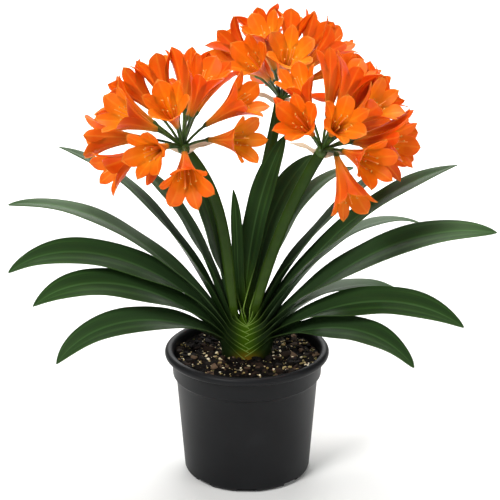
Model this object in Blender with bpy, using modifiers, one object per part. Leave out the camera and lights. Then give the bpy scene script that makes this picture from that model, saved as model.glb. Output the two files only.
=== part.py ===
"""Clivia in flower in its nursery pot: a fan of strap leaves, three scapes and three umbels.

Metres, +Z up. The origin is the centre of the pot's flat underside, and -Y is the side that the
flowers face. Leaves fan out to -X and +X from a short crown of leaf bases that stands in a hole
in the soil.
"""
import math

import bmesh
import bpy
from mathutils import Matrix, Vector, noise

MM = 0.001
GAP = 0.3 * MM

# Pot
POT_SIDES = 40
POT_HEIGHT = 152 * MM
RIM_RADIUS = 95 * MM
COLLAR_RADIUS = 86 * MM
WALL_TOP_RADIUS = 82 * MM
WALL_BASE_RADIUS = 73 * MM
BEAD_HEIGHT = 10 * MM
STEP_HEIGHT = 118 * MM
POT_WALL = 2 * MM
BASE_RADIUS = 66 * MM
BASE_CORNER = 7 * MM
COLLAR_LEAN = 1 * MM
DRAIN_NOTCHES = 8
NOTCH_DEPTH = 18 * MM
NOTCH_WIDTH = 22 * MM
NOTCH_HEIGHT = 5 * MM

# Soil
SOIL_TOP = 142 * MM
SOIL_ROUGHNESS = 2.2 * MM
SOIL_LUMP = 14 * MM
SOIL_RINGS = 6

# Crown of leaf bases
CROWN_FOOT = 112 * MM
CROWN_CENTRE = 158 * MM
CROWN_HALF_WIDTH = 30 * MM
CROWN_RISE = 40 * MM
CROWN_HALF_DEPTH = 19 * MM
CROWN_FOOT_SCALE = 0.78
CROWN_SIDES = 24
CROWN_LEVELS = 13
SHEATH_PITCH = 11 * MM
SHEATH_RELIEF = 1.3 * MM
SHEATH_SLOPE = 1.2

# Leaves
LEAF_THICKNESS = 1.2 * MM
LEAF_ROWS = 10
LEAF_ROOT_FOLD = 40
LEAF_BLADE_FOLD = 11
LEAF_ROOT_WIDTH = 15 * MM
LEAF_TIP_WIDTH = 1.6 * MM
WIDE_FROM = 0.42
FLAT_FROM = 0.5
ROLLED_FROM = 0.55
TIP_FROM = 0.62
ROOT_CLEARANCE = 3.4 * MM
FAN_SPREAD = 86
FAN_SLOTS = 22
LEFT_SLOTS = 8
BEZIER_REACH = 0.36

# One line a leaf: name, place in the fan from the left, heading at the root and at the tip in
# degrees from upright, tip (x, y, z) and width in mm, and roll towards the front in degrees.
LEAVES = [
    ("leaf_left_1", 0, -58, -138, (-212, -70, 160), 38, 30),
    ("leaf_left_2", 1, -49, -122, (-238, -50, 221), 42, 28),
    ("leaf_left_3", 2, -38, -122, (-268, -20, 250), 43, 25),
    ("leaf_left_4", 3, -34, -97, (-268, 5, 322), 40, 4),
    ("leaf_left_5", 4, -27, -74, (-216, 60, 374), 38, 0),
    ("leaf_left_6", 5, -20, -55, (-130, 50, 358), 38, 8),
    ("leaf_left_7", 6, -13, -32, (-70, 25, 365), 36, 30),
    ("leaf_centre_1", 9, -6, -6, (-15, -6, 343), 14, 70),
    ("leaf_centre_2", 10, 4, 26, (43, 12, 401), 30, 58),
    ("leaf_right_1", 11.2, 8, 46, (74, 35, 372), 32, 20),
    ("leaf_right_2", 13.4, 20, 82, (122, 50, 352), 34, 10),
    ("leaf_right_3", 14.6, 28, 62, (193, 55, 371), 38, 0),
    ("leaf_right_4", 15.8, 33, 72, (234, 0, 370), 40, 8),
    ("leaf_right_5", 17, 36, 110, (212, 90, 278), 38, -5),
    ("leaf_right_6", 18, 44, 96, (277, -30, 301), 44, 22),
    ("leaf_right_7", 19, 48, 118, (195, 90, 190), 38, -5),
    ("leaf_right_8", 20, 55, 124, (241, -60, 200), 42, 28),
    ("leaf_right_9", 21, 60, 140, (185, -80, 160), 38, 25),
]

# Scapes: name, place in the fan, depth of the root, heading at the root, hub and end heading
SCAPE_RADIUS = 6 * MM
SCAPE_ROOT_SHARE = 0.62
SCAPE_RINGS = 8
SCAPES = [
    ("left", 7.4, -12, -8, (-70, -20, 396), -42),
    ("rear", 10.5, 13, 4, (39, 102, 420), 12),
    ("right", 12.3, -12, 14, (82, -25, 394), 30),
]
BRACT_LENGTH = 30 * MM
BRACT_WIDTH = 9 * MM
BRACT_THICKNESS = 0.8 * MM
BRACT_HEADINGS = (-75, 60, 180)

# Umbels
HUB_RADIUS = 6.5 * MM
HUB_HEIGHT = 9 * MM
PEDICEL_LENGTH = 38 * MM
PEDICEL_RADIUS = 1.5 * MM
OVARY_RADIUS = 3.4 * MM
HANGING_LIFT = 0.85
BLOOM_LIFT = 0.25
BLOOM_SPIN = 37
BLOOM_LENGTH = 64 * MM
TUBE_RADIUS = 5 * MM
THROAT_RADIUS = 10.5 * MM
TEPAL_RADIUS = 18 * MM
MOUTH_RADIUS = 26 * MM
TUBE_SHARE = 0.24
NOTCH_SHARE = 0.52
THROAT_SHARE = 0.56
WIDEST_SHARE = 0.86
INNER_HALF_ANGLE = 27
OUTER_HALF_ANGLE = 21
TEPAL_THICKNESS = 0.9 * MM
BUD_LENGTH = 42 * MM
BUD_RADIUS = 6 * MM

# Blooms: heading round the umbel in degrees from the front towards +X, and rise above level
BLOOMS = {
    "left": [
        (-10, 40), (-55, 28), (-22, 5), (5, -22), (45, 65), (-130, 62), (-120, 40), (-90, 32),
        (172, 68), (140, 50), (68, 36), (50, 10), (-88, 2), (-125, 8), (-60, -22), (175, 25),
    ],
    "rear": [
        (-130, 20), (-30, 36), (-110, 42), (-140, 64), (-30, 64), (-165, 34), (150, 68),
        (8, 44), (120, 54), (145, 32), (85, 44), (108, 18), (-172, 2),
    ],
    "right": [
        (-45, 62), (-22, 30), (14, 30), (95, 66), (160, 58), (58, 38), (120, 42), (98, 38),
        (95, 8), (60, 8), (32, 0), (110, -25), (20, -42), (140, 4),
    ],
}
BUDS = {"left": [(-20, 68), (-30, -42)], "rear": [(45, 4)], "right": [(-75, 45)]}


def remove_all():
    for item in list(bpy.data.objects):
        bpy.data.objects.remove(item, do_unlink=True)


def new_collection(name):
    group = bpy.data.collections.new(name)
    bpy.context.scene.collection.children.link(group)
    return group


def finish_material(item, name, colour, roughness):
    material = bpy.data.materials.new(name)
    material.use_nodes = True
    shader = material.node_tree.nodes["Principled BSDF"]
    shader.inputs["Base Color"].default_value = (*colour, 1.0)
    shader.inputs["Roughness"].default_value = roughness
    shader.inputs["Metallic"].default_value = 0.0
    item.data.materials.clear()
    item.data.materials.append(material)


def mesh_object(name, shape, group):
    """Turn a bmesh into a named object in a collection."""
    bmesh.ops.recalc_face_normals(shape, faces=shape.faces)
    mesh = bpy.data.meshes.new(name)
    shape.to_mesh(mesh)
    shape.free()
    item = bpy.data.objects.new(name, mesh)
    group.objects.link(item)
    return item


def move_to(item, group):
    """Take an object out of its collections and put it in one."""
    for old in list(item.users_collection):
        old.objects.unlink(item)
    group.objects.link(item)


def apply_modifiers(item):
    """Keep the evaluated shape as the object's own mesh."""
    bpy.context.view_layer.update()
    graph = bpy.context.evaluated_depsgraph_get()
    mesh = bpy.data.meshes.new_from_object(item.evaluated_get(graph))
    item.modifiers.clear()
    item.data = mesh
    return item


def smooth(item, angle=40):
    item.data.shade_smooth()
    item.data.set_sharp_from_angle(angle=math.radians(angle))


def screw(name, profile, group):
    """Spin a list of (radius, height) points round +Z."""
    mesh = bpy.data.meshes.new(name)
    edges = [(i, i + 1) for i in range(len(profile) - 1)]
    mesh.from_pydata([(radius, 0, height) for radius, height in profile], edges, [])
    item = bpy.data.objects.new(name, mesh)
    group.objects.link(item)
    spin = item.modifiers.new("Screw", "SCREW")
    spin.steps = POT_SIDES
    spin.render_steps = POT_SIDES
    spin.use_merge_vertices = True
    spin.merge_threshold = 0.00005
    return apply_modifiers(item)


def steps(start, stop, count):
    return [start + (stop - start) * i / (count - 1) for i in range(count)]


def arc(centre, radius, start, stop, count):
    """Points of an arc in the (radius, height) plane, angles in degrees from +radius."""
    turns = [math.radians(angle) for angle in steps(start, stop, count)]
    return [(centre[0] + radius * math.cos(a), centre[1] + radius * math.sin(a)) for a in turns]


def outer_wall(height):
    """Radius of the pot's outer wall below its step."""
    return WALL_BASE_RADIUS + (WALL_TOP_RADIUS - WALL_BASE_RADIUS) * height / STEP_HEIGHT


def make_pot(group, cutters):
    bead = BEAD_HEIGHT / 2
    bead_centre = (RIM_RADIUS - bead, POT_HEIGHT - bead)
    corner = (outer_wall(BASE_CORNER) - BASE_CORNER, BASE_CORNER)
    outside = arc(bead_centre, bead, 90, -90, 5)
    outside += [
        (COLLAR_RADIUS + COLLAR_LEAN, POT_HEIGHT - BEAD_HEIGHT - 1 * MM),
        (COLLAR_RADIUS, STEP_HEIGHT + 6 * MM),
        (COLLAR_RADIUS - COLLAR_LEAN, STEP_HEIGHT + 1 * MM),
        (WALL_TOP_RADIUS, STEP_HEIGHT),
    ]
    outside += arc(corner, BASE_CORNER, 0, -90, 3)
    inside = [
        (COLLAR_RADIUS + COLLAR_LEAN - POT_WALL, POT_HEIGHT - 1 * MM),
        (COLLAR_RADIUS - POT_WALL, STEP_HEIGHT + 5 * MM),
        (WALL_TOP_RADIUS - POT_WALL, STEP_HEIGHT - 2 * MM),
        (outer_wall(BASE_CORNER) - POT_WALL, BASE_CORNER + POT_WALL),
        (BASE_RADIUS - POT_WALL, POT_WALL + NOTCH_HEIGHT),
    ]
    axis_top = [(0, POT_WALL + NOTCH_HEIGHT)]
    profile = axis_top + inside[::-1] + outside + [(0, 0)]
    pot = screw("pot", profile, group)
    for index in range(DRAIN_NOTCHES):
        turn = 2 * math.pi * index / DRAIN_NOTCHES - math.pi / 2
        bpy.ops.mesh.primitive_cube_add(size=1, location=(0, 0, 0))
        notch = bpy.context.object
        notch.name = f"drain_notch_{index + 1}"
        reach = BASE_RADIUS + NOTCH_DEPTH / 2
        notch.dimensions = (NOTCH_DEPTH, NOTCH_WIDTH, 2 * NOTCH_HEIGHT)
        notch.location = (reach * math.cos(turn), reach * math.sin(turn), 0)
        notch.rotation_euler.z = turn
        notch.hide_render = True
        notch.display_type = "WIRE"
        move_to(notch, cutters)
        cut = pot.modifiers.new(notch.name, "BOOLEAN")
        cut.operation = "DIFFERENCE"
        cut.object = notch
    smooth(pot)
    finish_material(pot, "moulded polypropylene", (0.035, 0.036, 0.038), 0.42)
    return pot


def soil_wall(height):
    """Inner radius that the pot leaves for the soil, less the gap."""
    low = (BASE_CORNER + POT_WALL, outer_wall(BASE_CORNER) - POT_WALL)
    high = (STEP_HEIGHT - 2 * MM, WALL_TOP_RADIUS - POT_WALL)
    return low[1] + (high[1] - low[1]) * (height - low[0]) / (high[0] - low[0]) - GAP


def make_soil(group, cutters):
    floor = POT_WALL + NOTCH_HEIGHT + GAP
    shoulder = STEP_HEIGHT - 3 * MM
    top_radius = COLLAR_RADIUS - COLLAR_LEAN - POT_WALL
    profile = [(radius, SOIL_TOP) for radius in steps(0, top_radius, SOIL_RINGS)]
    profile += [
        (top_radius, STEP_HEIGHT + 8 * MM),
        (soil_wall(shoulder), shoulder),
        (soil_wall(BASE_CORNER + 3 * MM), BASE_CORNER + 3 * MM),
        (BASE_RADIUS - POT_WALL - 1 * MM, floor),
        (0, floor),
    ]
    soil = screw("soil", profile, group)
    for point in soil.data.vertices:
        inside = math.hypot(point.co.x, point.co.y) < top_radius - 1 * MM
        if point.co.z > SOIL_TOP - 1 * MM and inside:
            point.co.z += SOIL_ROUGHNESS * noise.noise(point.co / SOIL_LUMP)
    hole = crown_body("crown_hole", cutters, [CROWN_FOOT, CROWN_CENTRE], grow=GAP, relief=0)
    hole.hide_render = True
    hole.display_type = "WIRE"
    cut = soil.modifiers.new("crown_hole", "BOOLEAN")
    cut.operation = "DIFFERENCE"
    cut.object = hole
    finish_material(soil, "peat and bark", (0.045, 0.032, 0.022), 0.95)
    return soil


def crown_size(height):
    """Half width and half depth of the crown at a height, as fractions of its greatest."""
    if height < CROWN_CENTRE:
        share = (height - CROWN_FOOT) / (CROWN_CENTRE - CROWN_FOOT)
        scale = CROWN_FOOT_SCALE + (1 - CROWN_FOOT_SCALE) * share
        return scale, scale
    share = (height - CROWN_CENTRE) / CROWN_RISE
    return math.sqrt(max(0.0, 1 - share * share)), math.sqrt(max(0.0, 1 - 0.5 * share * share))


def crown_body(name, group, heights, grow, relief):
    """A flattened dome whose front and back carry the V-shaped edges of the leaf sheaths."""
    shape = bmesh.new()
    rings = []
    for height in heights:
        wide, deep = crown_size(height)
        ring = []
        for side in range(CROWN_SIDES):
            turn = 2 * math.pi * side / CROWN_SIDES
            across = math.cos(turn)
            out = math.sin(turn)
            climb = SHEATH_SLOPE * abs(across) * CROWN_HALF_WIDTH
            chevron = (height - SOIL_TOP - climb) / SHEATH_PITCH
            edge = relief * (1 - chevron % 1.0) * abs(out) * (height > SOIL_TOP + 4 * MM)
            x = (CROWN_HALF_WIDTH + grow) * wide * across
            y = (CROWN_HALF_DEPTH + grow) * deep * math.copysign(abs(out) ** 0.75, out)
            y += math.copysign(edge, out) if abs(out) > 0.1 else 0
            z = height - (grow if height == CROWN_FOOT else 0)
            ring.append(shape.verts.new((x, y, z)))
        rings.append(ring)
    for low, high in zip(rings, rings[1:]):
        for side in range(CROWN_SIDES):
            after = (side + 1) % CROWN_SIDES
            shape.faces.new((low[side], low[after], high[after], high[side]))
    shape.faces.new(rings[0][::-1])
    shape.faces.new(rings[-1])
    bmesh.ops.triangulate(shape, faces=shape.faces)
    return mesh_object(name, shape, group)


def make_crown(group):
    top = CROWN_CENTRE + 0.985 * CROWN_RISE
    heights = [CROWN_FOOT, *steps(SOIL_TOP - 4 * MM, top, CROWN_LEVELS)]
    crown = crown_body("crown", group, heights, grow=0, relief=SHEATH_RELIEF)
    smooth(crown, 50)
    finish_material(crown, "leaf bases", (0.20, 0.30, 0.05), 0.5)
    return crown


def fan_point(place, depth=0.0):
    """A root on the crown's dome, by its place in the fan from the left."""
    turn = math.radians(-FAN_SPREAD + 2 * FAN_SPREAD * place / (FAN_SLOTS - 1))
    across = (CROWN_HALF_WIDTH + ROOT_CLEARANCE) * math.sin(turn)
    height = CROWN_CENTRE + (CROWN_RISE + ROOT_CLEARANCE) * math.cos(turn)
    return Vector((across, depth, height))


def heading(angle):
    """A direction in the fan's plane, degrees from upright towards +X."""
    return Vector((math.sin(math.radians(angle)), 0, math.cos(math.radians(angle))))


def bezier(root, root_heading, tip, tip_heading):
    """A function of 0..1 that gives a point and a tangent on the curve."""
    reach = BEZIER_REACH * (tip - root).length
    first = root + reach * heading(root_heading)
    last = tip - reach * heading(tip_heading)
    first.y = root.y + 0.3 * (tip.y - root.y)
    last.y = root.y + 0.7 * (tip.y - root.y)

    def at(t):
        s = 1 - t
        place = s**3 * root + 3 * s * s * t * first + 3 * s * t * t * last + t**3 * tip
        along = s * s * (first - root) + 2 * s * t * (last - first) + t * t * (tip - last)
        return place, along.normalized()

    return at


def ease(value):
    value = min(1.0, max(0.0, value))
    return value * value * (3 - 2 * value)


def leaf_half_width(t, width):
    """Narrow at the sheath, full along the blade, and rounded to a short point."""
    base = LEAF_ROOT_WIDTH + (width - LEAF_ROOT_WIDTH) * ease(t / WIDE_FROM)
    end = max(0.0, (t - TIP_FROM) / (1 - TIP_FROM))
    return 0.5 * max(LEAF_TIP_WIDTH, base * (1 - end**2.3) ** 0.75)


def make_leaf(group, name, place, root_heading, tip_heading, tip, width, roll):
    path = bezier(fan_point(place), root_heading, MM * Vector(tip), tip_heading)
    side = -1 if place < LEFT_SLOTS else 1
    shape = bmesh.new()
    bmesh.ops.create_grid(shape, x_segments=2, y_segments=LEAF_ROWS, size=1)
    for point in shape.verts:
        across = point.co.x
        t = (point.co.y + 1) / 2
        centre, along = path(t)
        face = Vector((-side * along.z, 0, side * along.x)).normalized()
        face = (face - face.dot(along) * along).normalized()
        turned = side * math.radians(roll) * ease(t / ROLLED_FROM)
        face = Matrix.Rotation(turned, 3, along) @ face
        width_way = along.cross(face).normalized()
        half = leaf_half_width(t, MM * width)
        opened = (LEAF_ROOT_FOLD - LEAF_BLADE_FOLD) * ease(t / FLAT_FROM)
        fold = math.radians(LEAF_ROOT_FOLD - opened)
        point.co = centre + across * half * math.cos(fold) * width_way
        point.co += abs(across) * half * math.sin(fold) * face
    bmesh.ops.triangulate(shape, faces=shape.faces)
    leaf = mesh_object(name, shape, group)
    shell = leaf.modifiers.new("Solidify", "SOLIDIFY")
    shell.thickness = LEAF_THICKNESS
    shell.offset = 0
    apply_modifiers(leaf)
    smooth(leaf, 50)
    finish_material(leaf, f"{name} blade", (0.035, 0.105, 0.02), 0.35)
    return leaf


def tube(name, points, radii, group, resolution):
    """A closed mesh tube through points, from a bevelled curve."""
    curve = bpy.data.curves.new(name, "CURVE")
    curve.dimensions = "3D"
    curve.bevel_depth = 1.0
    curve.bevel_resolution = resolution
    curve.use_fill_caps = True
    line = curve.splines.new("POLY")
    line.points.add(len(points) - 1)
    for entry, point, radius in zip(line.points, points, radii):
        entry.co = (*point, 1)
        entry.radius = radius
    source = bpy.data.objects.new(name, curve)
    group.objects.link(source)
    bpy.context.view_layer.update()
    graph = bpy.context.evaluated_depsgraph_get()
    mesh = bpy.data.meshes.new_from_object(source.evaluated_get(graph))
    bpy.data.objects.remove(source, do_unlink=True)
    shape = bmesh.new()
    shape.from_mesh(mesh)
    bmesh.ops.remove_doubles(shape, verts=shape.verts, dist=0.00001)
    return mesh_object(name, shape, group)


def keep_largest(item):
    """Drop the scraps and sealed hollows that a union can leave."""
    shape = bmesh.new()
    shape.from_mesh(item.data)
    todo = set(shape.faces)
    islands = []
    while todo:
        queue = [todo.pop()]
        island = []
        while queue:
            face = queue.pop()
            island.append(face)
            for edge in face.edges:
                near = [other for other in edge.link_faces if other in todo]
                todo.difference_update(near)
                queue.extend(near)
        islands.append(island)
    islands.sort(key=len)
    for island in islands[:-1]:
        corners = {corner for face in island for corner in face.verts}
        bmesh.ops.delete(shape, geom=list(corners), context="VERTS")
    shape.to_mesh(item.data)
    shape.free()


def join(item, extras):
    """Fuse a collection of closed shapes into an object, then remove them."""
    union = item.modifiers.new("Union", "BOOLEAN")
    union.operation = "UNION"
    union.operand_type = "COLLECTION"
    union.collection = extras
    union.solver = "MANIFOLD"
    apply_modifiers(item)
    keep_largest(item)
    for extra in list(extras.objects):
        bpy.data.objects.remove(extra, do_unlink=True)
    bpy.data.collections.remove(extras)
    return item


def frame_along(direction, origin, spin=0.0):
    """A matrix whose +Z runs along a direction."""
    turn = Vector(direction).to_track_quat("Z", "Y").to_matrix().to_4x4()
    return Matrix.Translation(origin) @ turn @ Matrix.Rotation(spin, 4, "Z")


def make_bract(name, hub, turn, group):
    """A thin papery bract that hangs out from under the umbel."""
    shape = bmesh.new()
    bmesh.ops.create_grid(shape, x_segments=1, y_segments=3, size=1)
    outward = Vector((math.sin(turn), -math.cos(turn), 0))
    sideways = Vector((math.cos(turn), math.sin(turn), 0))
    for point in shape.verts:
        across = point.co.x
        t = (point.co.y + 1) / 2
        half = BRACT_WIDTH / 2 * (1 - 0.75 * t * t)
        drop = -0.10 * BRACT_LENGTH - 0.45 * BRACT_LENGTH * t * t
        point.co = hub + (2 * MM + BRACT_LENGTH * t) * outward
        point.co += across * half * sideways + Vector((0, 0, drop))
    bmesh.ops.triangulate(shape, faces=shape.faces)
    bract = mesh_object(name, shape, group)
    shell = bract.modifiers.new("Solidify", "SOLIDIFY")
    shell.thickness = BRACT_THICKNESS
    shell.offset = 0
    return apply_modifiers(bract)


def make_scape(group, name, place, depth, root_heading, hub, hub_heading):
    hub = MM * Vector(hub)
    path = bezier(fan_point(place, depth * MM), root_heading, hub, hub_heading)
    stop = 1 - 0.8 * HUB_HEIGHT / (hub - fan_point(place)).length
    points = [path(t)[0] for t in steps(0, stop, SCAPE_RINGS)]
    shares = [SCAPE_ROOT_SHARE + (1 - SCAPE_ROOT_SHARE) * ease(i / 3) for i in range(SCAPE_RINGS)]
    radii = [SCAPE_RADIUS * share for share in shares]
    scape = tube(f"scape_{name}", points, radii, group, 1)
    extras = new_collection(f"bracts_{name}")
    for index, turn in enumerate(BRACT_HEADINGS):
        make_bract(f"bract_{name}_{index}", points[-1], math.radians(turn), extras)
    join(scape, extras)
    smooth(scape, 50)
    finish_material(scape, f"scape {name}", (0.10, 0.20, 0.035), 0.45)
    return scape


def bloom_shape():
    """A funnel of six tepals, three narrow outer and three wide inner, along +Z."""
    shape = bmesh.new()

    def spot(angle, radius, height):
        turn = math.radians(angle)
        return shape.verts.new((radius * math.cos(turn), radius * math.sin(turn), height))

    neck = spot(0, 0, 0)
    tube_ring = [spot(60 * k, TUBE_RADIUS, TUBE_SHARE * BLOOM_LENGTH) for k in range(6)]
    notch = [spot(60 * k + 30, THROAT_RADIUS, NOTCH_SHARE * BLOOM_LENGTH) for k in range(6)]
    throat = []
    for k in range(6):
        radius = THROAT_RADIUS + (1 * MM if k % 2 else -0.5 * MM)
        throat.append(spot(60 * k, radius, THROAT_SHARE * BLOOM_LENGTH))
    for k in range(6):
        after = (k + 1) % 6
        shape.faces.new((neck, tube_ring[after], tube_ring[k]))
        shape.faces.new((tube_ring[k], notch[k], throat[k]))
        shape.faces.new((tube_ring[k], tube_ring[after], notch[k]))
        shape.faces.new((tube_ring[after], throat[after], notch[k]))
    for k in range(6):
        outer = k % 2 == 1
        spread = OUTER_HALF_ANGLE if outer else INNER_HALF_ANGLE
        radius = TEPAL_RADIUS + (2 * MM if outer else 0)
        height = (WIDEST_SHARE - (0.02 if outer else 0)) * BLOOM_LENGTH
        left = spot(60 * k - spread, radius, height)
        right = spot(60 * k + spread, radius, height)
        middle = spot(60 * k, radius + 0.8 * MM, height - 1.5 * MM)
        tip = spot(60 * k, MOUTH_RADIUS + (1.5 * MM if outer else 0), BLOOM_LENGTH)
        before = notch[k - 1]
        shape.faces.new((throat[k], middle, left))
        shape.faces.new((before, throat[k], left))
        shape.faces.new((throat[k], right, middle))
        shape.faces.new((throat[k], notch[k], right))
        shape.faces.new((left, middle, tip))
        shape.faces.new((middle, right, tip))
    return shape


def make_bloom(name, group, placement):
    bloom = mesh_object(name, bloom_shape(), group)
    shell = bloom.modifiers.new("Solidify", "SOLIDIFY")
    shell.thickness = TEPAL_THICKNESS
    shell.offset = 0
    apply_modifiers(bloom)
    bloom.data.transform(placement)
    return bloom


def make_bud(name, group, placement):
    bpy.ops.mesh.primitive_uv_sphere_add(segments=6, ring_count=5, radius=1)
    bud = bpy.context.object
    bud.name = name
    move_to(bud, group)
    bud.data.transform(Matrix.Diagonal((BUD_RADIUS, BUD_RADIUS, BUD_LENGTH / 2, 1)))
    bud.data.transform(Matrix.Translation((0, 0, BUD_LENGTH / 2 - 1 * MM)))
    bud.data.transform(placement)
    return bud


def bloom_way(turn, rise):
    turn = math.radians(turn)
    rise = math.radians(rise)
    level = math.cos(rise)
    return Vector((level * math.sin(turn), -level * math.cos(turn), math.sin(rise)))


def pedicel_way(way):
    """A stalk leaves the hub a little above its bloom's heading, and more where the bloom hangs."""
    lift = BLOOM_LIFT + HANGING_LIFT * max(0.0, -way.z)
    return (way + Vector((0, 0, lift))).normalized()


def make_umbel(group, name, hub, hub_heading):
    hub = MM * Vector(hub)
    bpy.ops.mesh.primitive_cone_add(
        vertices=10, radius1=SCAPE_RADIUS, radius2=HUB_RADIUS, depth=HUB_HEIGHT, end_fill_type="TRIFAN"
    )
    umbel = bpy.context.object
    umbel.name = f"umbel_{name}"
    move_to(umbel, group)
    umbel.data.transform(frame_along(heading(hub_heading), hub))
    extras = new_collection(f"blooms_{name}")
    for index, (turn, rise) in enumerate(BLOOMS[name] + BUDS[name]):
        way = bloom_way(turn, rise)
        stalk = pedicel_way(way)
        end = hub + stalk * PEDICEL_LENGTH
        ovary = end + way * 4 * MM
        points = [hub, end, ovary]
        radii = [PEDICEL_RADIUS, OVARY_RADIUS, OVARY_RADIUS * 0.8]
        tube(f"pedicel_{name}_{index}", points, radii, extras, 0)
        placement = frame_along(way, end + way * 2 * MM, math.radians(BLOOM_SPIN * index))
        if index < len(BLOOMS[name]):
            make_bloom(f"bloom_{name}_{index}", extras, placement)
        else:
            make_bud(f"bud_{name}_{index}", extras, placement)
    join(umbel, extras)
    smooth(umbel, 35)
    finish_material(umbel, f"tepals {name}", (0.9, 0.16, 0.01), 0.5)
    return umbel


def main():
    remove_all()
    group = new_collection("clivia")
    cutters = new_collection("cutters")
    make_pot(group, cutters)
    make_soil(group, cutters)
    make_crown(group)
    for leaf in LEAVES:
        make_leaf(group, *leaf)
    for name, place, depth, root_heading, hub, hub_heading in SCAPES:
        make_scape(group, name, place, depth, root_heading, hub, hub_heading)
        make_umbel(group, name, hub, hub_heading)


main()
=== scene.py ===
import math
import random

import bpy
from mathutils import Matrix, Vector, noise


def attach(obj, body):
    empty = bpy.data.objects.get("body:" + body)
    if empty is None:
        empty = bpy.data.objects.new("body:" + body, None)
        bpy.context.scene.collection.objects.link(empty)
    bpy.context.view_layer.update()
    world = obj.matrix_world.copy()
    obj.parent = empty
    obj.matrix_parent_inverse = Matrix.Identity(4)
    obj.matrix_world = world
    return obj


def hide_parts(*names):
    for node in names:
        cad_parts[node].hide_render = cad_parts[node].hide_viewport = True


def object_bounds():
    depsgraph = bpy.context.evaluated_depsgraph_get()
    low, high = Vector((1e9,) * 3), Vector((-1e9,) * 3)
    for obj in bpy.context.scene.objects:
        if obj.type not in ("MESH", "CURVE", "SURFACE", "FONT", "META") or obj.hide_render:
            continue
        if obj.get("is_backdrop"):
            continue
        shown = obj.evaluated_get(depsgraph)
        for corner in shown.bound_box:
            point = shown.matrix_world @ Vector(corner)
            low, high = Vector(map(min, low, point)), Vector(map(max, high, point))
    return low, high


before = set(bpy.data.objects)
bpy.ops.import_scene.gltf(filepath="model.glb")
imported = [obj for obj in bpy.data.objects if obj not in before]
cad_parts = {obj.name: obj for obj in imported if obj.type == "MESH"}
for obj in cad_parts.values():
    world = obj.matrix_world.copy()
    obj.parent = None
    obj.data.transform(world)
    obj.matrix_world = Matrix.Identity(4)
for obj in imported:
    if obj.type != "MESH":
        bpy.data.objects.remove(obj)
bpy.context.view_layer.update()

# Pot. A nursery pot injection-moulded in black polypropylene, with a rolled bead at the rim, a
# collar that steps in to the tapered wall, and drainage notches cut through the bottom corner.
# The moulding is satin, with faint flow marks and a fine grain that softens its shine.
MM = 0.001
POT_SIDES = 120
POT_HEIGHT = 152 * MM
RIM_RADIUS = 95 * MM
BEAD = 5 * MM
COLLAR_RADIUS = 86 * MM
COLLAR_ROUND = 1.5 * MM
LEDGE_ROUND = 1.2 * MM
STEP_HEIGHT = 118 * MM
WALL_TOP_RADIUS = 82 * MM
WALL_BASE_RADIUS = 73 * MM
BASE_CORNER = 7 * MM
POT_WALL = 2 * MM
AXIS_GAP = 1 * MM
DRAIN_NOTCHES = 8
NOTCH_REACH = 75 * MM
NOTCH_DEPTH = 18 * MM
NOTCH_WIDTH = 22 * MM
NOTCH_HEIGHT = 5 * MM
NOTCH_ROUND = 1.2 * MM
# Per metre: flow marks about 45 mm long, and a moulding grain of about 0.7 mm
FLOW_SCALE = 22.0
GRAIN_SCALE = 1400.0


def colour(code):
    """An sRGB hex value as linear red, green and blue with full alpha."""
    parts = [int(code[i:i + 2], 16) / 255 for i in (1, 3, 5)]
    linear = [p / 12.92 if p <= 0.04045 else ((p + 0.055) / 1.055) ** 2.4 for p in parts]
    return (*linear, 1.0)


def add_node(material, kind, sockets=None, output=0, stops=None, **settings):
    """Add a node with its settings, a link or a value for each socket, and a ramp's stops."""
    node = material.node_tree.nodes.new(kind)
    for name, value in settings.items():
        if hasattr(node, name):
            setattr(node, name, value)
        else:
            node.inputs[name.replace("_", " ")].default_value = value
    for socket, source in (sockets or {}).items():
        if isinstance(source, bpy.types.NodeSocket):
            material.node_tree.links.new(source, node.inputs[socket])
        else:
            node.inputs[socket].default_value = source
    if stops:
        elements = node.color_ramp.elements
        while len(elements) < len(stops):
            elements.new(0.5)
        for element, (place, code) in zip(elements, stops):
            element.position = place
            element.color = colour(code)
    return node.outputs[output]


def new_material(name, base, roughness, ior=1.46, **settings):
    """A Principled material with its shader's sockets set by name."""
    material = bpy.data.materials.new(name)
    material.use_nodes = True
    shader = material.node_tree.nodes["Principled BSDF"]
    settings.update(Base_Color=colour(base), Roughness=roughness, IOR=ior)
    for socket, value in settings.items():
        shader.inputs[socket.replace("_", " ")].default_value = value
    return material


def feed(material, **sources):
    """Link a pattern's outputs into the shader's sockets, by name."""
    shader = material.node_tree.nodes["Principled BSDF"]
    for socket, source in sources.items():
        material.node_tree.links.new(source, shader.inputs[socket.replace("_", " ")])


def deselect():
    bpy.ops.object.select_all(action="DESELECT")


def pick(piece):
    """Select one piece alone and make it active."""
    deselect()
    piece.select_set(True)
    bpy.context.view_layer.objects.active = piece


def take(name):
    """Name the primitive just added and its mesh, and leave it active."""
    piece = bpy.context.object
    piece.name = name
    piece.data.name = name
    return piece


def turned(name, profile, sides):
    """A circle extruded and scaled from one (radius, height) to the next."""
    deselect()
    radius, height = profile[0]
    bpy.ops.mesh.primitive_circle_add(vertices=sides, radius=radius, location=(0, 0, 0))
    piece = take(name)
    piece.data.transform(Matrix.Translation((0, 0, height)))
    bpy.ops.object.mode_set(mode="EDIT")
    bpy.ops.mesh.select_all(action="SELECT")
    for new_radius, new_height in profile[1:]:
        bpy.ops.mesh.extrude_region_move(TRANSFORM_OT_translate={"value": (0, 0, new_height - height)})
        scale = new_radius / radius
        bpy.ops.transform.resize(value=(scale, scale, 1), center_override=(0, 0, new_height))
        radius, height = new_radius, new_height
    bpy.ops.mesh.select_all(action="SELECT")
    bpy.ops.mesh.remove_doubles(threshold=0.01 * MM)
    bpy.ops.mesh.normals_make_consistent(inside=False)
    bpy.ops.object.mode_set(mode="OBJECT")
    return piece


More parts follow.
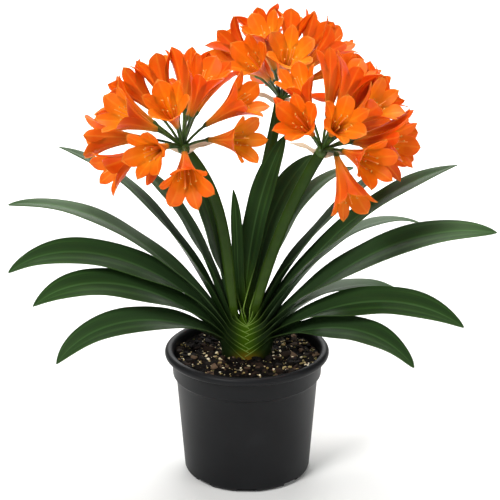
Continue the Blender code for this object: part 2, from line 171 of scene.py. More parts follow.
def apply_all(piece):
    """Apply every modifier, in order."""
    bpy.context.view_layer.objects.active = piece
    for modifier in list(piece.modifiers):
        bpy.ops.object.modifier_apply(modifier=modifier.name)
    return piece


def smooth(piece, angle):
    """Shade smooth, but for edges sharper than the angle in degrees."""
    pick(piece)
    bpy.ops.object.shade_smooth_by_angle(angle=math.radians(angle))


def close_ends(piece, merge=0.0):
    """Merge a tube's seam where asked, cap its open ends, and turn its faces out."""
    pick(piece)
    bpy.ops.object.mode_set(mode="EDIT")
    bpy.ops.mesh.select_all(action="SELECT")
    if merge:
        bpy.ops.mesh.remove_doubles(threshold=merge)
    bpy.ops.mesh.select_all(action="DESELECT")
    bpy.ops.mesh.select_non_manifold(extend=False)
    bpy.ops.mesh.edge_face_add()
    bpy.ops.mesh.select_all(action="SELECT")
    bpy.ops.mesh.normals_make_consistent(inside=False)
    bpy.ops.object.mode_set(mode="OBJECT")


def dress(piece, material, slot, *nodes):
    """Give a finished piece its material, its body and the nodes it stands for; the slot is not used.
    """
    piece.data.materials.clear()
    piece.data.materials.append(material)
    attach(piece, "root")
    if nodes:
        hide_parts(*nodes)
    return piece


def arc(centre, radius, start, stop, count):
    """(radius, height) points of an arc, angles in degrees from outwards."""
    turns = [math.radians(start + (stop - start) * i / (count - 1)) for i in range(count)]
    return [(centre[0] + radius * math.cos(a), centre[1] + radius * math.sin(a)) for a in turns]


def wall_radius(height):
    """The tapered wall's outer radius at a height."""
    return WALL_BASE_RADIUS + (WALL_TOP_RADIUS - WALL_BASE_RADIUS) * height / STEP_HEIGHT


# The section runs up the inside from the floor, over the bead, and down the outside to the base
corner = wall_radius(BASE_CORNER)
floor_height = POT_WALL + NOTCH_HEIGHT
pot_profile = [
    (AXIS_GAP, floor_height),
    (corner - BASE_CORNER - POT_WALL, floor_height),
    (corner - POT_WALL, BASE_CORNER + 4 * MM),
    (WALL_TOP_RADIUS - POT_WALL, STEP_HEIGHT - 2 * MM),
    (COLLAR_RADIUS - POT_WALL, STEP_HEIGHT + 5 * MM),
    (COLLAR_RADIUS + 1 * MM - POT_WALL, POT_HEIGHT - 5 * MM),
]
pot_profile += arc((RIM_RADIUS - BEAD, POT_HEIGHT - BEAD), BEAD, 150, -100, 15)
ledge = (COLLAR_RADIUS + 2.2 * MM, POT_HEIGHT - 2 * BEAD - 1.6 * MM)
pot_profile += arc(ledge, LEDGE_ROUND, 70, 180, 5)
pot_profile += arc((COLLAR_RADIUS - COLLAR_ROUND, STEP_HEIGHT + 4 * MM), COLLAR_ROUND, 0, -60, 4)
pot_profile += [
    (WALL_TOP_RADIUS + 0.9 * MM, STEP_HEIGHT + 0.6 * MM),
    (WALL_TOP_RADIUS, STEP_HEIGHT - 1.5 * MM),
    (wall_radius(0.5 * STEP_HEIGHT), 0.5 * STEP_HEIGHT),
]
pot_profile += arc((corner - BASE_CORNER, BASE_CORNER), BASE_CORNER, 0, -90, 8)
pot_profile += [(AXIS_GAP, 0)]
pot = turned("pot_body", pot_profile, POT_SIDES)
close_ends(pot)
for index in range(DRAIN_NOTCHES):
    turn = 2 * math.pi * index / DRAIN_NOTCHES - math.pi / 2
    deselect()
    spot = (NOTCH_REACH * math.cos(turn), NOTCH_REACH * math.sin(turn), 0)
    bpy.ops.mesh.primitive_cube_add(size=1, location=spot)
    notch = take(f"notch_{index}")
    notch.scale = (NOTCH_DEPTH, NOTCH_WIDTH, 2 * NOTCH_HEIGHT)
    notch.rotation_euler.z = turn
    bpy.ops.object.transform_apply(location=True, rotation=True, scale=True)
    bevel = notch.modifiers.new("Bevel", "BEVEL")
    bevel.width = NOTCH_ROUND
    bevel.segments = 3
    apply_all(notch)
    cut = pot.modifiers.new("Notch", "BOOLEAN")
    cut.object = notch
    cut.solver = "EXACT"
    apply_all(pot)
    bpy.data.objects.remove(notch, do_unlink=True)
smooth(pot, 35)

plastic = new_material("black moulded polypropylene", "#141517", 0.44, 1.49, Specular_IOR_Level=0.16)
place = add_node(plastic, "ShaderNodeTexCoord", output="Object")
flow = add_node(plastic, "ShaderNodeTexNoise", {"Vector": place}, Scale=FLOW_SCALE, Detail=5.0)
mould = add_node(plastic, "ShaderNodeTexNoise", {"Vector": place}, Scale=GRAIN_SCALE, Detail=2.0)
tint = add_node(
    plastic, "ShaderNodeValToRGB", {"Fac": flow},
    stops=[(0.3, "#101113"), (0.6, "#151618"), (0.8, "#1d1e20")],
)
gloss = add_node(plastic, "ShaderNodeMapRange", {"Value": flow}, To_Min=0.38, To_Max=0.56)
skin = add_node(plastic, "ShaderNodeBump", {"Height": mould}, Strength=0.25, Distance=0.08 * MM)
feed(plastic, Base_Color=tint, Roughness=gloss, Normal=skin)
dress(pot, plastic, "pot", "pot")

# Soil. A dark peat compost, lumpy and dull, with chips of brown bark and grains of cream perlite
# lying on it. It is filled to a finger's width under the rim and heaped round the crown's foot.
SOIL_TOP = 142 * MM
SOIL_RADIUS = 83 * MM
SOIL_FOOT_RADIUS = 78 * MM
SOIL_DEPTH = 25 * MM
SOIL_RINGS = 72
SOIL_SIDES = 180
SOIL_SEED = 7
BARK_CHIPS = 420
BARK_SIZES = (1.8 * MM, 7 * MM)
BARK_SINK = 0.05
PERLITE_GRAINS = 560
PERLITE_SIZES = (0.9 * MM, 3.8 * MM)
PERLITE_SINK = 0.25
CROWN_HALF_WIDTH = 30 * MM
CROWN_HALF_DEPTH = 19 * MM
# Height and breadth in mm of each size of lump
LUMPS = ((2.6, 14), (1.5, 6), (0.9, 2.6))
# Per metre: peat crumbs about 2.4 mm across, and bark fibres about 1.1 mm apart
CRUMB_SCALE = 420.0
FIBRE_SCALE = 900.0


def soil_height(x, y):
    """The surface: lumps of each size, lower at the edge and heaped at the crown's foot."""
    lumps = 0.0
    for index, (height, breadth) in enumerate(LUMPS):
        lumps += height * noise.noise(Vector((x, y, 0.1 * index)) / (breadth * MM))
    edge = math.hypot(x, y) / SOIL_RADIUS
    near = math.hypot(x / CROWN_HALF_WIDTH, y / CROWN_HALF_DEPTH)
    heap = min(3.0 * max(0.0, 1.6 - near) ** 2, 2.0)
    return SOIL_TOP + MM * (lumps - edge**4 + heap)


rings = [SOIL_RADIUS * i / SOIL_RINGS for i in range(SOIL_RINGS, 0, -1)]
soil_profile = [(SOIL_FOOT_RADIUS, SOIL_TOP - SOIL_DEPTH)] + [(r, SOIL_TOP) for r in rings]
soil = turned("soil_surface", soil_profile, SOIL_SIDES)
for point in soil.data.vertices:
    if point.co.z > SOIL_TOP - 1 * MM:
        point.co.z = soil_height(point.co.x, point.co.y)
close_ends(soil)
smooth(soil, 60)

peat = new_material("damp peat compost", "#1c1611", 0.95, Specular_IOR_Level=0.1)
place = add_node(peat, "ShaderNodeTexCoord", output="Object")
crumb = add_node(peat, "ShaderNodeTexNoise", {"Vector": place}, Scale=CRUMB_SCALE, Detail=8.0)
tint = add_node(
    peat, "ShaderNodeValToRGB", {"Fac": crumb},
    stops=[(0.35, "#030202"), (0.55, "#0a0705"), (0.72, "#1a120c")],
)
rough = add_node(peat, "ShaderNodeBump", {"Height": crumb}, Strength=0.9, Distance=1.2 * MM)
feed(peat, Base_Color=tint, Normal=rough)
dress(soil, peat, "soil", "soil")


def join_all(pieces, name):
    """Join pieces into the first, at the origin."""
    deselect()
    for piece in pieces:
        piece.select_set(True)
    bpy.context.view_layer.objects.active = pieces[0]
    bpy.ops.object.join()
    return take(name)


def write_layer(mesh, name, values):
    """Keep one number for each point of a mesh, for its material to read."""
    layer = mesh.attributes.new(name, "FLOAT", "POINT")
    layer.data.foreach_set("value", values)


def copy_at(master, placement, tone=None):
    """A copy of a master with its own mesh, its place in the mesh, and a tone for its material."""
    mesh = master.data.copy()
    mesh.transform(placement)
    if tone is not None:
        write_layer(mesh, "tone", [tone] * len(mesh.vertices))
    piece = bpy.data.objects.new(master.name, mesh)
    bpy.context.scene.collection.objects.link(piece)
    return piece


def scatter(master, name, count, sizes, sink, seed):
    """Lay copies on the soil, each turned and stretched its own way, clear of the crown."""
    draw = random.Random(seed)
    low, high = sizes
    pieces = []
    while len(pieces) < count:
        radius = (SOIL_RADIUS - 2 * MM) * math.sqrt(draw.random())
        turn = 2 * math.pi * draw.random()
        x, y = radius * math.cos(turn), radius * math.sin(turn)
        if math.hypot(x / (CROWN_HALF_WIDTH * 0.85), y / (CROWN_HALF_DEPTH * 0.9)) < 1:
            continue
        size = low + (high - low) * draw.random() ** 2
        length, height = draw.uniform(0.8, 1.7), draw.uniform(0.35, 0.9)
        shape = Matrix.Diagonal((size * length, size, size * height, 1))
        spin = Matrix.Rotation(draw.uniform(0, 6.28), 4, "Z")
        spin = spin @ Matrix.Rotation(draw.gauss(0, 0.45), 4, "X")
        where = Matrix.Translation((x, y, soil_height(x, y) + sink * size))
        pieces.append(copy_at(master, where @ spin @ shape, draw.random()))
    return join_all(pieces, name)


deselect()
bpy.ops.mesh.primitive_cube_add(size=1)
chip = take("chip")
bpy.ops.object.mode_set(mode="EDIT")
bpy.ops.mesh.select_all(action="SELECT")
bpy.ops.mesh.subdivide(number_cuts=2, smoothness=0.5)
bpy.ops.mesh.vertices_smooth(factor=0.4)
bpy.ops.object.mode_set(mode="OBJECT")
for point in chip.data.vertices:
    point.co *= 1 + 0.35 * noise.noise(point.co * 3.1)
smooth(chip, 50)
bark = scatter(chip, "soil_bark_chips", BARK_CHIPS, BARK_SIZES, BARK_SINK, SOIL_SEED)
bpy.data.objects.remove(chip, do_unlink=True)

deselect()
bpy.ops.mesh.primitive_ico_sphere_add(subdivisions=2, radius=0.5)
grain = take("grain")
for point in grain.data.vertices:
    point.co *= 1 + 0.5 * noise.noise(point.co * 4.3)
smooth(grain, 50)
perlite = scatter(
    grain, "soil_perlite", PERLITE_GRAINS, PERLITE_SIZES, PERLITE_SINK, SOIL_SEED + 1
)
bpy.data.objects.remove(grain, do_unlink=True)

bark_skin = new_material("composted pine bark", "#3a2618", 0.85, Specular_IOR_Level=0.15)
tone = add_node(bark_skin, "ShaderNodeAttribute", output="Fac", attribute_name="tone")
tint = add_node(
    bark_skin, "ShaderNodeValToRGB", {"Fac": tone},
    stops=[(0.0, "#070504"), (0.55, "#130e0a"), (0.85, "#2c2018"), (1.0, "#665240")],
)
place = add_node(bark_skin, "ShaderNodeTexCoord", output="Object")
fibre = add_node(bark_skin, "ShaderNodeTexNoise", {"Vector": place}, Scale=FIBRE_SCALE, Detail=4.0)
ridge = add_node(bark_skin, "ShaderNodeBump", {"Height": fibre}, Strength=0.7, Distance=0.5 * MM)
feed(bark_skin, Base_Color=tint, Normal=ridge)
dress(bark, bark_skin, "soil")

perlite_skin = new_material("expanded perlite", "#c9bd93", 0.9)
tone = add_node(perlite_skin, "ShaderNodeAttribute", output="Fac", attribute_name="tone")
tint = add_node(
    perlite_skin, "ShaderNodeValToRGB", {"Fac": tone},
    stops=[(0.0, "#3f4418"), (0.3, "#7d6b3a"), (0.62, "#c4b07e"), (1.0, "#f2e8cc")],
)
feed(perlite_skin, Base_Color=tint)
dress(perlite, perlite_skin, "soil")

# Crown. The leaf bases of a clivia clasp each other in two ranks and make a short, flattened
# stalk. This is its fleshy core, seen only in the chinks between the bases that wrap it, and
# yellower low down where little light reaches.
CROWN_CENTRE = 158 * MM
CROWN_RISE = 40 * MM
CORE_SHARE = 0.42
CORE_ROWS = 21
CORE_SIDES = 64
CORE_SUNK = 10 * MM

core_radius = CORE_SHARE * CROWN_HALF_WIDTH
core_profile = [(core_radius * 0.8, SOIL_TOP - CORE_SUNK)]
for row in range(CORE_ROWS):
    rise = math.radians(3 + 84 * row / (CORE_ROWS - 1))
    height = CROWN_CENTRE + CROWN_RISE * 0.5 * math.sin(rise)
    core_profile.append((core_radius * math.cos(rise), height))
crown = turned("crown_core", core_profile, CORE_SIDES)
crown.data.transform(Matrix.Diagonal((1, CROWN_HALF_DEPTH / CROWN_HALF_WIDTH, 1, 1)))
close_ends(crown)
smooth(crown, 60)

base_skin = new_material("fleshy leaf base", "#4f6f1c", 0.45, 1.4)
place = add_node(base_skin, "ShaderNodeTexCoord", output="Object")
level = add_node(base_skin, "ShaderNodeSeparateXYZ", {"Vector": place}, output="Z")
height = add_node(
    base_skin, "ShaderNodeMapRange", {"Value": level},
    From_Min=SOIL_TOP, From_Max=CROWN_CENTRE + CROWN_RISE,
)
tint = add_node(
    base_skin, "ShaderNodeValToRGB", {"Fac": height},
    stops=[(0.0, "#8a6a2a"), (0.25, "#6f8a22"), (1.0, "#2c4a16")],
)
feed(base_skin, Base_Color=tint)
dress(crown, base_skin, "crown", "crown")

# Leaves. Leathery straps, dark glossy green, folded to a V where they clasp the crown and nearly
# flat along the blade, with a sunk midrib and fine veins running lengthwise. They arch out in two
# ranks to the left and right, grown from the crown, each over the one below it.
LEAF_THICKNESS = 1.1 * MM
LEAF_ACROSS = 20
LEAF_ALONG = 84
LEAF_ROOT_WIDTH = 22 * MM
LEAF_USUAL_WIDTH = 40 * MM
LEAF_ROOT_FOLD = 40
LEAF_BLADE_FOLD = 15
LEAF_WAVE = 0.6 * MM
LEAF_TIP_HALF = 0.5 * MM
VEIN_SPACING = 1.3 * MM
MARGIN_SHARE = 0.035
MARGIN_LIFT = 0.9 * MM
GLOW_REACH = 11 * MM
# Shares of the blade's length by which it has rolled, widened and flattened, and where it tapers
ROLLED_BY = 0.55
WIDE_BY = 0.42
FLAT_BY = 0.5
TAPER_FROM = 0.62
SHEATH_ROWS = 20
SHEATH_FOOT = SOIL_TOP - 5 * MM
SHEATH_APEX = 141 * MM
SHEATH_TOP = 180 * MM
SHEATH_PITCH = 7.8 * MM
SHEATH_NEST = 0.55 * MM
SHEATH_OVERLAP = 2.5 * MM
SHEATH_FIT = 0.93
SHEATH_JITTER = 0.22
# Shares of its half width by which a sheath has gone round the crown, and where its edge rises
ROUND_BY = 0.72
EDGE_FROM = 0.68
ROOT_CLEARANCE = 3.4 * MM
FAN_SPREAD = 86
FAN_SLOTS = 22
MIDDLE_SLOT = 9.5
# The upright leaves between these slots are rolled from their bases on
UPRIGHT_SLOTS = (8.5, 12)
EARLY_ROLL = 0.5
# Per metre: mottles about 36 mm across; and streaks across and along the blade
PATCH_SCALE = 28.0
STREAKS = (7.0, 0.8, 1.0)

# Name, place in the fan from the left, heading at the root and at the tip in degrees from
# upright, tip (x, y, z) and width in mm, roll towards the front in degrees, and paleness.
LEAVES = [
    ("leaf_left_1", 0, -51, -143, (-212, -70, 160), 38, 30, 0.25),
    ("leaf_left_2", 1, -40, -129, (-238, -50, 221), 42, 28, 0.15),
    ("leaf_left_3", 2, -31, -128, (-268, -20, 250), 43, 25, 0.2),
    ("leaf_left_4", 3, -34, -97, (-268, 5, 322), 40, 4, 0.3),
    ("leaf_left_5", 4, -27, -74, (-216, 60, 374), 38, 0, 0.1),
    ("leaf_left_6", 5, -20, -55, (-130, 50, 358), 38, 8, 0.15),
    ("leaf_left_7", 6, -13, -32, (-70, 25, 365), 36, 30, 0.2),
    ("leaf_centre_1", 9, -6, -6, (-15, -6, 343), 14, 70, 0.1),
    ("leaf_centre_2", 10, 4, 26, (43, 12, 401), 30, 58, 0.15),
    ("leaf_right_1", 11.7, 8, 46, (74, 35, 372), 34, 52, 0.3),
    ("leaf_right_2", 13.4, 20, 82, (122, 50, 352), 34, 10, 0.6),
    ("leaf_right_3", 14.6, 28, 62, (193, 55, 371), 38, 0, 0.2),
    ("leaf_right_4", 15.8, 33, 72, (234, 0, 370), 40, 8, 0.2),
    ("leaf_right_5", 17, 36, 112, (204, 90, 272), 36, -5, 0.9),
    ("leaf_right_6", 18, 44, 96, (277, -30, 301), 44, 22, 0.25),
    ("leaf_right_7", 19, 49, 121, (189, 90, 182), 36, -5, 0.8),
    ("leaf_right_8", 20, 51, 123, (241, -60, 200), 42, 28, 0.15),
    ("leaf_right_9", 21, 60, 140, (185, -80, 160), 38, 25, 0.2),
]


def ease(value):
    """A smooth step from 0 to 1."""
    value = min(1.0, max(0.0, value))
    return value * value * (3 - 2 * value)


def fan_point(place, depth=0.0):
    """A root on the crown's dome, by its place in the fan from the left."""
    turn = math.radians(-FAN_SPREAD + 2 * FAN_SPREAD * place / (FAN_SLOTS - 1))
    return Vector((
        (CROWN_HALF_WIDTH + ROOT_CLEARANCE) * math.sin(turn),
        depth,
        CROWN_CENTRE + (CROWN_RISE + ROOT_CLEARANCE) * math.cos(turn),
    ))


def heading(angle):
    """A direction in the fan's plane, degrees from upright towards +X."""
    return Vector((math.sin(math.radians(angle)), 0, math.cos(math.radians(angle))))


def bezier(root, root_heading, tip, tip_heading, reach=0.36):
    """A function of 0..1 that gives a point and a tangent on the curve."""
    chord = (tip - root).length
    first = root + reach * chord * heading(root_heading)
    last = tip - reach * chord * heading(tip_heading)
    first.y = root.y + 0.3 * (tip.y - root.y)
    last.y = root.y + 0.7 * (tip.y - root.y)

    def at(t):
        s = 1 - t
        spot = s**3 * root + 3 * s * s * t * first + 3 * s * t * t * last + t**3 * tip
        along = 3 * (s * s * (first - root) + 2 * s * t * (last - first) + t * t * (tip - last))
        return spot, along.normalized()

    return at


def grid_piece(name, across, along):
    """A grid primitive whose points run from -1 to 1 both ways, with its UV map."""
    deselect()
    bpy.ops.mesh.primitive_grid_add(x_subdivisions=across, y_subdivisions=along, size=2)
    return take(name)


def thicken(piece, thickness):
    """Give a sheet its thickness, both ways from its middle."""
    shell = piece.modifiers.new("Solidify", "SOLIDIFY")
    shell.thickness = thickness
    shell.offset = 0
    apply_all(piece)


def leaf_section(path, t, u, side, width, roll, phase, early):
    """A point of the blade: t along the midrib, u from the front edge to the back edge."""
    centre, along = path(t)
    face = Vector((-side * along.z, 0, side * along.x)).normalized()
    face = (face - face.dot(along) * along).normalized()
    turn = side * math.radians(roll) * ease(early + t / ROLLED_BY)
    face = Matrix.Rotation(turn, 3, along) @ face
    width_way = side * along.cross(face).normalized()
    base = min(LEAF_ROOT_WIDTH + (width - LEAF_ROOT_WIDTH) * ease(t / WIDE_BY), width)
    end = max(0.0, (t - TAPER_FROM) / (1 - TAPER_FROM))
    half = max(LEAF_TIP_HALF, 0.5 * base * max(0.0, 1 - end**2.3) ** 0.75)
    fold = math.radians(LEAF_ROOT_FOLD + (LEAF_BLADE_FOLD - LEAF_ROOT_FOLD) * ease(t / FLAT_BY))
    # A V with a rounded keel
    rise = math.sqrt(u * u + 0.012) - 0.1095
    bow = -0.10 * half * u * u * ease(t / FLAT_BY)
    wave = LEAF_WAVE * u * abs(u) * math.sin(19 * t + phase) * ease(t / 0.3)
    place = centre + u * half * math.cos(fold) * width_way
    return place + (rise * half * math.sin(fold) * 1.1 + bow + wave) * face


def sheath_point(w, u, head, along, side, rank):
    """A point of the clasping base: w from the stem up to the blade, u from front to back edge."""
    inner = min(1.0, abs(u) / (1 - MARGIN_SHARE))
    turn = math.pi / 2 * min(1.0, inner / ROUND_BY)
    nest = SHEATH_NEST * (2 * rank + (side > 0))
    across = (SHEATH_FIT * CROWN_HALF_WIDTH - nest) * math.cos(turn) - SHEATH_OVERLAP * math.sin(turn)
    step = rank + 0.5 * (side > 0) + SHEATH_JITTER * math.sin(2.6 * rank + side)
    apex = min(SHEATH_APEX + SHEATH_PITCH * step, SHEATH_TOP)
    rise = SHEATH_FOOT + (apex - SHEATH_FOOT) * ease((inner - EDGE_FROM) / (1 - EDGE_FROM))
    rise += MARGIN_LIFT * max(0.0, abs(u) - 1 + MARGIN_SHARE) / MARGIN_SHARE
    back = math.copysign((CROWN_HALF_DEPTH - nest) * math.sin(turn), -u)
    foot = Vector((side * across, back, rise))
    span = (head - foot).length
    start = Vector((side * 0.2, 0, 1)) * math.cos(turn)
    start += Vector((side * 0.85, 0, 0.5)) * math.sin(turn)
    w2, w3 = w * w, w * w * w
    place = (2 * w3 - 3 * w2 + 1) * foot + (w3 - 2 * w2 + w) * span * start
    place += (3 * w2 - 2 * w3) * head + (w3 - w2) * span * 0.9 * along
    place.y = foot.y + (head.y - foot.y) * w2
    return place


def make_leaf(name, slot_place, root_heading, tip_heading, tip, width, roll, pale):
    """A blade on its curve, with its clasping base below, and the layers its material reads."""
    path = bezier(fan_point(slot_place), root_heading, MM * Vector(tip), tip_heading)
    side = -1 if slot_place < MIDDLE_SLOT else 1
    rank = slot_place if side < 0 else FAN_SLOTS - 1 - slot_place
    leaf = grid_piece(f"{name}_blade", LEAF_ACROSS, LEAF_ALONG)
    phase = 1.7 * slot_place
    early = EARLY_ROLL if UPRIGHT_SLOTS[0] < slot_place < UPRIGHT_SLOTS[1] else 0.0
    along = path(0)[1]
    inside = 1 - 2 / LEAF_ACROSS
    glow, base = [], []
    for point in leaf.data.vertices:
        u = point.co.x
        if abs(u) > inside + 0.001:
            u = math.copysign(1.0, u)
        else:
            u *= (1 - MARGIN_SHARE) / inside
        row = LEAF_ALONG * (point.co.y + 1) / 2
        t = max(0.0, (row - SHEATH_ROWS) / (LEAF_ALONG - SHEATH_ROWS))
        spot = leaf_section(path, t, u, side, MM * width, roll, phase, early)
        if row < SHEATH_ROWS - 0.001:
            spot = sheath_point(row / SHEATH_ROWS, u, spot, along, side, rank)
        point.co = spot
        # glow marks the crown's middle, where the material paints light; base marks the root, where it
        # paints shade
        glow.append(math.exp(-((spot.x / GLOW_REACH) ** 2)) * max(0.0, 1 - t / 0.3))
        base.append(max(0.0, 1 - t / 0.15))
    write_layer(leaf.data, "glow", glow)
    write_layer(leaf.data, "base", base)
    thicken(leaf, LEAF_THICKNESS)
    write_layer(leaf.data, "pale", [pale] * len(leaf.data.vertices))
    smooth(leaf, 50)
    return dress(leaf, leaf_skin, "leaf", name)


leaf_skin = new_material(
    "waxy strap leaf", "#23401a", 0.36, 1.45,
    Specular_IOR_Level=0.2, Specular_Tint=colour("#a8cf86"),
)
surface = add_node(leaf_skin, "ShaderNodeTexCoord", output="UV")
place = add_node(leaf_skin, "ShaderNodeTexCoord", output="Object")
across = add_node(leaf_skin, "ShaderNodeSeparateXYZ", {"Vector": surface}, output="X")
along = add_node(leaf_skin, "ShaderNodeSeparateXYZ", {"Vector": surface}, output="Y")
level = add_node(leaf_skin, "ShaderNodeSeparateXYZ", {"Vector": place}, output="Z")
pale = add_node(leaf_skin, "ShaderNodeAttribute", output="Fac", attribute_name="pale")
glow = add_node(leaf_skin, "ShaderNodeAttribute", output="Fac", attribute_name="glow")
base = add_node(leaf_skin, "ShaderNodeAttribute", output="Fac", attribute_name="base")
centred = add_node(leaf_skin, "ShaderNodeMath", {0: across, 1: 0.5}, operation="SUBTRACT")
distance = add_node(leaf_skin, "ShaderNodeMath", {0: centred}, operation="ABSOLUTE")
streaked = add_node(leaf_skin, "ShaderNodeMapping", {"Vector": surface}, Scale=STREAKS)
streak = add_node(leaf_skin, "ShaderNodeTexNoise", {"Vector": streaked}, Scale=1.0, Detail=2.5)
patch = add_node(leaf_skin, "ShaderNodeTexNoise", {"Vector": place}, Scale=PATCH_SCALE, Detail=2.0)
patch_share = add_node(leaf_skin, "ShaderNodeMath", {0: patch, 1: 0.45}, operation="MULTIPLY")
# Painted shade: the blade darkens towards its foot by the crown.
deep = add_node(
    leaf_skin, "ShaderNodeMapRange", {"Value": along},
    From_Min=0.24, From_Max=0.8, To_Min=0.6, To_Max=0.0,
)
# Painted highlight: a lighter band along the midrib.
rib = add_node(
    leaf_skin, "ShaderNodeMapRange", {"Value": distance},
    From_Min=0.01, From_Max=0.05, To_Min=0.5, To_Max=0.0,
)
# Painted shade: the clasping base and the blade's root darkened nearly to black.
shaded = add_node(leaf_skin, "ShaderNodeMath", {0: base, 1: 0.85}, operation="MULTIPLY")
# Painted light over the heart's own yellow-green: the crown's middle lightened.
lit = add_node(leaf_skin, "ShaderNodeMath", {0: glow, 1: 0.8}, operation="MULTIPLY")
low = add_node(
    leaf_skin, "ShaderNodeMapRange", {"Value": level},
    From_Min=SOIL_TOP, From_Max=SOIL_TOP + 14 * MM, To_Min=0.7, To_Max=0.0,
)
browned = add_node(leaf_skin, "ShaderNodeMath", {0: low, 1: glow}, operation="MULTIPLY")
margin = 0.5 - 1 / LEAF_ACROSS
edge = add_node(leaf_skin, "ShaderNodeMath", {0: distance, 1: margin}, operation="GREATER_THAN")
# The pale edges brighten towards the crown's middle, with the same painted light as the heart.
edge_tint = add_node(
    leaf_skin, "ShaderNodeMapRange", {"Value": glow}, From_Max=0.9, To_Min=0.04, To_Max=0.55
)
edge_share = add_node(leaf_skin, "ShaderNodeMath", {0: edge, 1: edge_tint}, operation="MULTIPLY")
tint = add_node(
    leaf_skin, "ShaderNodeValToRGB", {"Fac": streak},
    stops=[(0.3, "#0f2208"), (0.5, "#1c370e"), (0.7, "#35581f")],
)
# Laid over the streaks in turn: mottles, a foot darkened with painted shade, paleness, the midrib
# lightened with a painted highlight, painted shade in the crown, its yellow-green heart, partly its own
# colour and partly painted light, brown at the soil, and the pale edges, brightened towards the heart
# by that painted light
for share, code in (
    (patch_share, "#12260a"), (deep, "#0a1a05"), (pale, "#4a6044"), (rib, "#46663a"),
    (shaded, "#091403"), (lit, "#3e5c06"), (browned, "#80481a"), (edge_share, "#84a04e"),
):
    over = {"Color1": tint, "Fac": share, "Color2": colour(code)}
    tint = add_node(leaf_skin, "ShaderNodeMixRGB", over)
wax = add_node(leaf_skin, "ShaderNodeMapRange", {"Value": patch}, To_Min=0.36, To_Max=0.5)
turns = 2 * math.pi * LEAF_USUAL_WIDTH / VEIN_SPACING
veins = add_node(leaf_skin, "ShaderNodeMath", {0: across, 1: turns}, operation="MULTIPLY")
vein_wave = add_node(leaf_skin, "ShaderNodeMath", {0: veins}, operation="SINE")
relief = add_node(leaf_skin, "ShaderNodeBump", {"Height": vein_wave}, Strength=0.22, Distance=0.15 * MM)
feed(leaf_skin, Base_Color=tint, Roughness=wax, Normal=relief)
for row in LEAVES:
    make_leaf(*row)

# Scapes. Three solid, slightly flattened flower stalks that rise from between the leaves. They
# are fleshy and dark green, and each carries thin papery bracts, dried to a pale tan, under its
# umbel, where they once wrapped the buds.
SCAPE_HALF_WIDTH = 6.4 * MM
SCAPE_HALF_DEPTH = 4.6 * MM
SCAPE_REACH = 280 * MM
SCAPE_ROOT = -0.11
SCAPE_SPAN = 1.095
SCAPE_FOOT_SHARE = 0.62
SCAPE_GRID = (24, 64)
BRACT_GRID = (4, 12)
BRACT_LENGTH = 31 * MM
BRACT_WIDTH = 9 * MM
BRACT_THICKNESS = 0.35 * MM
BRACT_ROOT = 4 * MM
BRACT_DROP = 5 * MM
BRACT_LEAN = 0.68
BRACT_LEAN_STEP = 0.25
# Per metre: flecks about 11 mm apart; and fibres across and along a bract
FLECK_SCALE = 90.0
BRACT_FIBRES = (14.0, 2.0, 1.0)
# Name, place in the fan, depth of the root in mm, heading at the root, hub in mm, end heading
SCAPES = [
    ("left", 7.4, -12, -8, (-70, -20, 396), -42),
    ("rear", 10.5, 13, 4, (39, 102, 420), 12),
    ("right", 12.3, -12, 14, (82, -25, 394), 30),
]
BRACT_TURNS = {"left": (70, -100, 170), "rear": (-80, 30, 160), "right": (-95, 60, 165)}


def wrap_tube(name, path, around, along, radius, flat=1.0, lobes=0, lobe_depth=0.0):
    """A grid rolled round a path: radius(t) across, flattened front to back, closed at the ends."""
    piece = grid_piece(name, around, along)
    for point in piece.data.vertices:
        turn = math.pi * (point.co.x + 1)
        t = (point.co.y + 1) / 2
        centre, way = path(t)
        side = Vector((0, 1, 0)).cross(way).normalized()
        depth = way.cross(side).normalized()
        reach = radius(t) * (1 + lobe_depth * math.cos(lobes * turn))
        point.co = centre + reach * (math.cos(turn) * side + flat * math.sin(turn) * depth)
    close_ends(piece, merge=0.002 * MM)
    smooth(piece, 60)
    return piece


def sunk(path, t):
    """The stalk's path, carried on below its root to the middle of the crown."""
    spot, way = path(max(t, 0.0))
    spot = spot + min(t, 0.0) * SCAPE_REACH * way
    spot.y *= 1 - 0.85 * ease((0.05 - t) / 0.1)
    return spot, way


def scape_radius(t):
    """Half the stalk's width, a little narrower at its root."""
    return SCAPE_HALF_WIDTH * (SCAPE_FOOT_SHARE + (1 - SCAPE_FOOT_SHARE) * ease(t / 0.4))


def make_bract(name, hub, turn, lean):
    """A curled, tapering scrap of dry film that hangs out from under the umbel."""
    bract = grid_piece(name, *BRACT_GRID)
    outward = Vector((math.sin(turn), -math.cos(turn), 0))
    sideways = Vector((0.55 * math.cos(turn), 0.55 * math.sin(turn), 0.83))
    for point in bract.data.vertices:
        u = point.co.x
        t = (point.co.y + 1) / 2
        half = BRACT_WIDTH / 2 * (1 - t**1.6) ** 0.8 + 0.2 * MM
        drop = lean * BRACT_LENGTH * t - 0.3 * BRACT_LENGTH * t * t - BRACT_DROP
        curl = 1.6 * MM * u * u + 0.8 * MM * math.sin(9 * t + 3 * u)
        point.co = hub + (BRACT_ROOT + BRACT_LENGTH * t) * outward + u * half * sideways
        point.co.z += drop + curl
    thicken(bract, BRACT_THICKNESS)
    smooth(bract, 60)
    return bract


